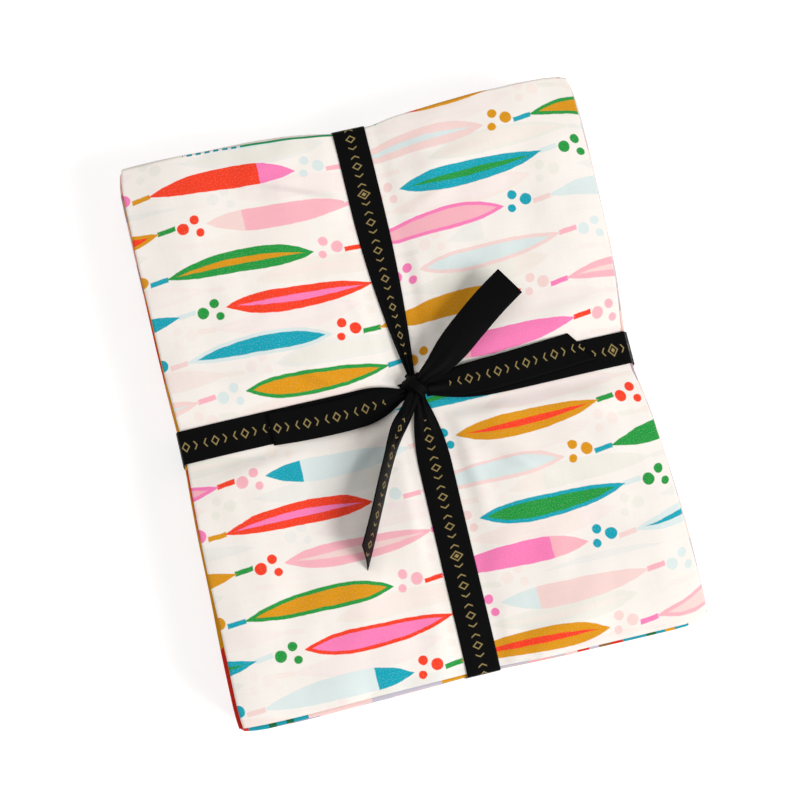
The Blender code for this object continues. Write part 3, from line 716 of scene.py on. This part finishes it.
# pinch is the width at the knot, spread the distance by which it is whole again, crest the
# arch at the knot, near and far the middle's place at the knot and at the edge, settle the
# distance by which it runs straight, and phase how the folds lie across the ribbon.
Arm = namedtuple("Arm", "side pinch spread crest near far settle phase")
LONG_ARMS = (
    Arm("back", 0.0035, 0.085, 0.0007, 0.0020, 0.0005, 0.090, 0.15),
    Arm("front", 0.0055, 0.032, 0.0011, 0.0037, 0.0026, 0.130, 0.60),
)
CROSS_ARMS = (
    Arm("right", 0.0090, 0.028, 0.0008, 0.0007, -0.0020, 0.045, 0.35),
    Arm("left", 0.0055, 0.020, 0.0007, -0.0001, -0.0014, 0.030, 0.80),
)


def settled(share):
    """From 0 to 1, fast at first and then ever slower."""
    return 1 - (1 - min(max(share, 0.0), 1.0)) ** 2


def lay_ribbon(bm, rows, columns, slant=0.0):
    """Adds a ribbon through its rows, outer side up, in folds where it is gathered. Slant
    carries one corner of its cut end past the other."""
    flat = bm.loops.layers.uv["cut"]
    lengths = [0.0]
    for here, following in zip(rows, rows[1:]):
        lengths.append(lengths[-1] + (following.middle - here.middle).length)
    made = bmesh.ops.create_grid(bm, x_segments=columns, y_segments=len(rows) - 1, size=0.5)
    stops = {}
    for vert in made["verts"]:
        side = vert.co.x
        index = round((vert.co.y + 0.5) * (len(rows) - 1))
        here = rows[index]
        ahead = rows[min(index + 1, len(rows) - 1)].middle - rows[max(index - 1, 0)].middle
        ahead.normalize()
        up = ahead.cross(here.across).normalized()
        gathered = 1 - here.width / RIBBON_WIDTH
        fold = FOLD_DEPTH * gathered * math.sin(2 * math.pi * (FOLDS * side + here.phase))
        over = here.crest * (1 - 4 * side * side) + fold
        by_end = max(1 - (lengths[-1] - lengths[index]) / SLANT_REACH, 0.0)
        sheared = slant * side * by_end
        vert.co = here.middle + here.across * here.width * side + up * over + ahead * sheared
        stops[vert] = (lengths[index] + sheared, side * RIBBON_WIDTH)
    faces = {face for vert in made["verts"] for face in vert.link_faces}
    for face in faces:
        for loop in face.loops:
            loop[flat].uv = stops[loop.vert]
    bmesh.ops.reverse_faces(bm, faces=list(faces))


def ribbon(name, node_name, pieces, columns, finishes):
    """Ribbons as one piece of the scene that replaces a node. Pieces are (rows, slant)."""
    bm = bmesh.new()
    bm.loops.layers.uv.new("cut")
    for rows, slant in pieces:
        lay_ribbon(bm, rows, columns, slant)
    piece = finish_cloth(name, bm, RIBBON)
    for made in finishes:
        piece.data.materials.append(made)
    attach(piece, "root")
    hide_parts(node_name)


def on_top(arm, lengthwise, distance, lift=0.0, aside=0.0):
    """The row of an arm over the top of the stack, this far from the knot."""
    sign = 1 if arm.side in ("back", "right") else -1
    straight = settled((distance - BAND_REACH) / arm.settle)
    place = arm.near + (arm.far - arm.near) * straight + aside
    near_knot = 1 - eased((distance - BAND_REACH) / RISE_REACH)
    whole = settled((distance - BAND_REACH) / arm.spread)
    width = arm.pinch + (RIBBON_WIDTH - arm.pinch) * whole
    if lengthwise:
        x, y, across = place, KNOT_Y + sign * distance, Vector((-sign, 0, 0))
    else:
        x, y, across = KNOT_X + sign * distance, place, Vector((0, sign, 0))
    z = height(x, y, TOP_LEVEL) + swell(x, y) + SEAT + BAND_RISE * near_knot + lift
    return Row(Vector((x, y, z)), across, width, arm.crest * (1 - whole), arm.phase)


def turned(row, lengthwise, out, z):
    """The same row carried out to another place along the band and another height."""
    x, y = (row.middle.x, out) if lengthwise else (out, row.middle.y)
    return row._replace(middle=Vector((x, y, z)))


def under(lengthwise, place):
    """Z of a band under the stack. The lengthwise one rises over the other."""
    half = HALF_Y if lengthwise else HALF_X
    crossing = pressed(place, GROOVE_Y, BASE_REACH) if lengthwise else 0.0
    return FOOT + BASE_GROOVE * (1 + crossing) + BASE_RISE * by_edge(place, half, BASE_EDGE) - SEAT


def over_edge(arm, lengthwise):
    """Rows of a band from the knot out over an edge and down to the base, knot first."""
    sign = 1 if arm.side in ("back", "right") else -1
    half, knot = (HALF_Y, KNOT_Y) if lengthwise else (HALF_X, KNOT_X)
    out = half - pull(arm.side, TOP_LEVEL) + SEAT
    reach = out - CORNER_RADIUS - sign * knot
    steps = math.ceil((reach - BAND_START) / ROW_STEP)
    rows = []
    for step in range(steps + 1):
        distance = BAND_START + (reach - BAND_START) * step / steps
        rise = CORNER_RISE * eased(1 - (reach - distance) / 0.008)
        rows.append(on_top(arm, lengthwise, distance, rise))
    last = rows[-1]
    top, base = last.middle.z, under(lengthwise, sign * (out - CORNER_RADIUS))
    for angle in range(15, 91, 15):
        over, down = math.sin(math.radians(angle)), 1 - math.cos(math.radians(angle))
        place = sign * (out - CORNER_RADIUS + CORNER_RADIUS * over)
        rows.append(turned(last, lengthwise, place, top - CORNER_RADIUS * down))
    for share in (0.88, 0.76, 0.63, 0.5, 0.37, 0.24, 0.12):
        z = base + CORNER_RADIUS + (top - base - 2 * CORNER_RADIUS) * share
        place = sign * (half - pull(arm.side, z) + SEAT)
        rows.append(turned(last, lengthwise, place, z))
    for angle in range(90, -1, -15):
        over, down = math.sin(math.radians(angle)), 1 - math.cos(math.radians(angle))
        place = sign * (out - CORNER_RADIUS + CORNER_RADIUS * over)
        rows.append(turned(last, lengthwise, place, base + CORNER_RADIUS * down))
    return rows


def band(arms, lengthwise):
    """Rows of one ribbon round the stack, from one side of the knot to the other."""
    first, second = (over_edge(arm, lengthwise) for arm in arms)
    beneath = []
    for step in range(1, BENEATH_STEPS):
        middle = first[-1].middle.lerp(second[-1].middle, step / BENEATH_STEPS)
        place = middle.y if lengthwise else middle.x
        middle.z = under(lengthwise, place)
        beneath.append(first[-1]._replace(middle=middle))
    back_up = [row._replace(across=-row.across) for row in reversed(second)]
    return [*first, *beneath, *back_up]


# The gold ornament: in each unit a lozenge between two chevrons, and in every sixth a
# larger lozenge with its middle filled. By the knot it is gathered out of sight.
UNIT, STROKE = 0.01433, 0.00032  # a stroke is half a line's width
LOZENGE, LARGER, FILLING = 0.0017, 0.0006, 0.0010
CHEVRON, CHEVRON_STROKE, CHEVRON_HEIGHT = 0.0054, 0.00030, 0.0020
ornament, ornament_in, ornament_out = group(
    "gold_ornament", {"Cut": None}, {"Mask": "NodeSocketFloat"}
)
gold_sum = partial(sums, ornament)
x, y = across_and_along(ornament, ornament_in.outputs["Cut"])
units = gold_sum("DIVIDE", x, UNIT)
sixth = gold_sum("FLOORED_MODULO", gold_sum("FLOOR", units), 6.0)
sixth = gold_sum("COMPARE", sixth, 0.0, 0.1)
x = gold_sum("MULTIPLY", gold_sum("SUBTRACT", gold_sum("FRACT", units), 0.5), UNIT)
x, y = gold_sum("ABSOLUTE", x), gold_sum("ABSOLUTE", y)
sloped = gold_sum("MULTIPLY_ADD", y, 0.8, x)
outline = gold_sum("SUBTRACT", sloped, gold_sum("MULTIPLY_ADD", sixth, LARGER, LOZENGE))
lozenge = within(ornament, gold_sum("SUBTRACT", gold_sum("ABSOLUTE", outline), STROKE))
filling = within(ornament, gold_sum("SUBTRACT", sloped, FILLING))
filling = gold_sum("MULTIPLY", filling, sixth)
arrow = gold_sum("SUBTRACT", gold_sum("MULTIPLY_ADD", y, 0.6, x), CHEVRON)
arrow = gold_sum("SUBTRACT", gold_sum("ABSOLUTE", arrow), CHEVRON_STROKE)
chevron = within(ornament, gold_sum("MAXIMUM", arrow, gold_sum("SUBTRACT", y, CHEVRON_HEIGHT)))
mask = gold_sum("MAXIMUM", gold_sum("MAXIMUM", lozenge, filling), chevron)
ornament.links.new(mask, ornament_out.inputs["Mask"])

RIB_PITCH, RIB_RELIEF, SOFT_RELIEF = 0.00042, 0.00004, 0.00025
SELVEDGE = 0.0074  # from the middle line to the thicker edge
BARE_BY_KNOT = 0.0165
GOLD = (0.44, 0.33, 0.13, 1)
black_finishes = []
for side_name, shown in (("printed", 0.92), ("plain", 0.0)):
    made, tree = material(f"black_ribbon_{side_name}_side")
    ribbon_sum = partial(sums, tree)
    cut = cut_places(tree)
    x, y = across_and_along(tree, cut)
    ribs = ribbon_sum("COSINE", ribbon_sum("MULTIPLY", x, 2 * math.pi / RIB_PITCH))
    woven = placed(tree, weave, {"Cut": cut, "Pitch": RIB_PITCH / 2})
    selvedge = ribbon_sum("GREATER_THAN", ribbon_sum("ABSOLUTE", y), SELVEDGE)
    yarn_height = ribbon_sum("MULTIPLY", woven.outputs["Height"], 0.6)
    relief = ribbon_sum("MULTIPLY_ADD", ribs, 0.5, yarn_height)
    relief = ribbon_sum("MULTIPLY_ADD", selvedge, 0.9, relief)
    crumpled = {"Height": woven.outputs["Crumple"], "Distance": SOFT_RELIEF}
    soft = node(tree, "ShaderNodeBump", crumpled).outputs[0]
    bump = node(tree, "ShaderNodeBump", {"Height": relief, "Distance": RIB_RELIEF, "Normal": soft})
    gold = ribbon_sum("MULTIPLY", placed(tree, ornament, {"Cut": cut}).outputs[0], shown)
    worn = ribbon_sum("MULTIPLY_ADD", woven.outputs["Yarn"], 0.7, 0.45)
    gold = ribbon_sum("MULTIPLY", gold, worn)
    place = node(tree, "ShaderNodeTexCoord").outputs["Object"]
    knot_place = {0: vectors(tree, "MULTIPLY", place, (1, 1, 0)), 1: (KNOT_X, KNOT_Y, 0)}
    from_knot = node(tree, "ShaderNodeVectorMath", knot_place, operation="DISTANCE")
    beyond = ribbon_sum("GREATER_THAN", from_knot.outputs["Value"], BARE_BY_KNOT)
    gold = ribbon_sum("MULTIPLY", gold, beyond)
    yarn = ribbon_sum("MULTIPLY_ADD", woven.outputs["Yarn"], 0.003, 0.0006)
    bluer = ribbon_sum("MULTIPLY", yarn, 1.08)
    black = node(tree, "ShaderNodeCombineColor", {0: yarn, 1: yarn, 2: bluer}).outputs[0]
    shader = tree.nodes["Principled BSDF"]
    tree.links.new(mixed(tree, gold, black, GOLD), shader.inputs["Base Color"])
    tree.links.new(ribbon_sum("MULTIPLY", gold, 0.35), shader.inputs["Metallic"])
    tree.links.new(bump.outputs[0], shader.inputs["Normal"])
    shader.inputs["Roughness"].default_value = 0.48
    shader.inputs["Specular IOR Level"].default_value = 0.045
    black_finishes.append(made)

ribbon(
    "crosswise_band", "ribbon_crosswise", [(band(CROSS_ARMS, False), 0.0)], 20,
    black_finishes,
)
ribbon(
    "lengthwise_band", "ribbon_lengthwise", [(band(LONG_ARMS, True), 0.0)], 20,
    black_finishes,
)


# ---------------------------------------------------------------------------------------
# The four cut ends of the ribbons. Two lie on the crosswise band with their print up, one
# stands up to the right, plain side up, and one goes down to the front left on its edge.
END_GAP, END_ARCH, END_CURL = 0.00012, 0.0008, 0.0005
right, left = CROSS_ARMS


def lying_end(arm, length, drift, bow):
    """Rows of an end that lies on an arm, ever more to one side of it, and bowed."""
    rows = []
    steps = math.ceil((length - BAND_START) / ROW_STEP)
    for step in range(steps + 1):
        distance = BAND_START + (length - BAND_START) * step / steps
        share = max(distance - BAND_REACH, 0.0) / (length - BAND_REACH)
        lift = RIBBON + END_GAP + END_ARCH * math.sin(math.pi * share) ** 2 + END_CURL * share**6
        rows.append(on_top(arm, False, distance, lift, drift * share + bow * math.sin(math.pi * share)))
    return rows


# A free end's middle line from the knot in millimetres, with z from the ribbon's seat there,
# the width there and the roll about the line in degrees.
Free = namedtuple("Free", "x y z width roll")
RAISED_END = (
    Free(1.2, 0.9, 3.9, 5.6, 0),
    Free(4.9, 3.4, 5.6, 6.6, 2),
    Free(9.4, 5.8, 6.9, 9.4, 5),
    Free(14.2, 8.6, 8.0, 12.6, 8),
    Free(21.6, 14.2, 9.8, 15.4, 9),
    Free(31.4, 21.8, 11.8, 16.0, 7),
    Free(43.1, 30.4, 13.6, 16.0, 3),
    Free(54.9, 38.0, 14.6, 16.0, 1),
)
EDGEWISE_END = (
    Free(-0.6, -1.5, 3.4, 5.6, 4),
    Free(-3.2, -5.7, 4.9, 6.0, -5),
    Free(-8.0, -12.4, 6.6, 7.6, -28),
    Free(-13.6, -19.0, 8.8, 11.5, -52),
    Free(-17.2, -24.5, 10.0, 14.0, -64),
    Free(-20.8, -31.2, 10.9, 15.6, -70),
    Free(-26.1, -41.5, 11.6, 16.0, -71),
    Free(-32.7, -54.9, 12.2, 16.0, -71),
    Free(-38.1, -65.5, 12.4, 16.0, -70),
    Free(-42.9, -74.9, 12.2, 16.0, -69),
)


def between(a, b, c, d, t):
    """A value from b to c, on a smooth curve that comes from a and goes on to d."""
    bow, twist = 2 * a - 5 * b + 4 * c - d, 3 * b - a - 3 * c + d
    return 0.5 * (2 * b + (c - a) * t + bow * t * t + twist * t**3)


def smooth_line(points, steps):
    """Values on a smooth line through the points, with this many steps from one to the next."""
    line = []
    for index in range(len(points) - 1):
        before, start = points[max(index - 1, 0)], points[index]
        end, after = points[index + 1], points[min(index + 2, len(points) - 1)]
        for step in range(steps + (index == len(points) - 2)):
            values = zip(before, start, end, after)
            line.append([between(*four, step / steps) for four in values])
    return line


KNOT_SEAT = 0.00082  # from the cloth's upper side to the middle of a ribbon in the knot
FREE_ARCH = 0.0006


def free_end(points, phase):
    """Rows of an end that stands off the cloth."""
    base = Vector((KNOT_X, KNOT_Y, height(KNOT_X, KNOT_Y, TOP_LEVEL) + CLOTH / 2 + KNOT_SEAT))
    line = [Free(*values) for values in smooth_line(points, 6)]
    middles = [base + Vector((here.x, here.y, here.z)) / 1000 for here in line]
    rows = []
    for index, here in enumerate(line):
        ahead = middles[min(index + 1, len(line) - 1)] - middles[max(index - 1, 0)]
        level_across = Vector((-ahead.y, ahead.x, 0)).normalized()
        up = ahead.normalized().cross(level_across)
        roll = math.radians(here.roll)
        across = level_across * math.cos(roll) + up * math.sin(roll)
        width = min(here.width / 1000, RIBBON_WIDTH)
        rows.append(Row(middles[index], across, width, FREE_ARCH, phase))
    return rows


ribbon(
    "right_end", "ribbon_end_right", [(lying_end(right, 0.0832, 0.0052, 0.0), -0.011)], 16,
    black_finishes,
)
ribbon(
    "left_end", "ribbon_end_left", [(lying_end(left, 0.0721, -0.0010, -0.0018), 0.0)], 16,
    black_finishes,
)
ribbon(
    "raised_end", "ribbon_end_raised", [(free_end(RAISED_END, 0.4), 0.0)], 16,
    black_finishes[::-1],
)
ribbon(
    "edgewise_end", "ribbon_end_edgewise", [(free_end(EDGEWISE_END, 0.7), 0.0105)], 16,
    black_finishes,
)


# ---------------------------------------------------------------------------------------
# The knot: both ribbons, gathered into thick folded straps. One goes across, one along and
# the last one is drawn tight over both on the skew.
Strap = namedtuple("Strap", "turn reach top foot width crest phase")  # degrees and millimetres
STRAPS = (
    Strap(4, 7.4, 2.9, 0.9, 7.2, 0.8, 0.10),
    Strap(93, 6.6, 3.8, 0.9, 6.4, 0.9, 0.45),
    Strap(-50, 5.8, 6.2, 0.7, 8.8, 2.0, 0.75),
)
STRAP_STEPS, STRAP_ARC = 32, 220


def strap(measures):
    """Rows of a strap that arches over the knot's middle and tucks under at both sides."""
    turn = math.radians(measures.turn)
    along = Vector((math.cos(turn), math.sin(turn), 0))
    across = Vector((-math.sin(turn), math.cos(turn), 0))
    base = Vector((KNOT_X, KNOT_Y, height(KNOT_X, KNOT_Y, TOP_LEVEL) + measures.foot / 1000))
    rows = []
    for step in range(STRAP_STEPS + 1):
        angle = math.radians(STRAP_ARC * (step / STRAP_STEPS - 0.5))
        out, up = math.sin(angle), math.cos(angle)
        middle = base + along * measures.reach * out / 1000
        middle.z += (measures.top - measures.foot) * max(up, -0.3) / 1000
        width = measures.width * (0.86 + 0.14 * out * out) / 1000
        rows.append(Row(middle, across, width, measures.crest / 1000 * max(up, 0.0), measures.phase))
    return rows


ribbon(
    "tied_knot", "ribbon_knot", [(strap(measures), 0.0) for measures in STRAPS], 26,
    black_finishes,
)


# ---------------------------------------------------------------------------------------
# The table and the light: a white floor that glows a little, so that shadows on it stay faint,
# a wide soft light from the lower right and a pale room. The camera looks almost straight
# down on the bundle, as in the photograph.
bm = bmesh.new()
bmesh.ops.create_grid(bm, x_segments=1, y_segments=1, size=6.0)
floor_mesh = bpy.data.meshes.new("floor")
bm.to_mesh(floor_mesh)
bm.free()
floor = bpy.data.objects.new("floor", floor_mesh)
bpy.context.scene.collection.objects.link(floor)
made, tree = material("pale_floor")
shader = tree.nodes["Principled BSDF"]
shader.inputs["Base Color"].default_value = (0.55, 0.55, 0.55, 1)
shader.inputs["Roughness"].default_value = 0.9
shader.inputs["Emission Color"].default_value = (1, 1, 1, 1)
shader.inputs["Emission Strength"].default_value = 0.62
floor_mesh.materials.append(made)

for name, place, size, power in (
    ("window", (2.2, -1.9, 2.3), 1.8, 130.0),
    ("ceiling", (-0.5, 0.6, 2.2), 2.2, 11.0),
    ("fill", (-1.3, 1.7, 1.0), 1.6, 13.0),
):
    light = bpy.data.lights.new(name, "AREA")
    light.size = size
    light.energy = power
    lamp = bpy.data.objects.new(name, light)
    lamp.location = place
    lamp.rotation_euler = (-Vector(place)).to_track_quat("-Z", "Y").to_euler()
    bpy.context.scene.collection.objects.link(lamp)

room = bpy.data.worlds.new("pale_room")
room.use_nodes = True
room.node_tree.nodes["Background"].inputs["Color"].default_value = (1.0, 0.995, 0.99, 1)
room.node_tree.nodes["Background"].inputs["Strength"].default_value = 0.33
bpy.context.scene.world = room
bpy.context.scene.view_settings.view_transform = "Standard"

camera_data = bpy.data.cameras.new("camera")
camera_data.lens = 79.83
camera_data.clip_end = 20.0
camera = bpy.data.objects.new("camera", camera_data)
camera.location = (-0.0779, -0.1119, 0.8758)
camera.rotation_euler = (0.14576, -0.05298, -0.2354)
bpy.context.scene.collection.objects.link(camera)
bpy.context.scene.camera = camera
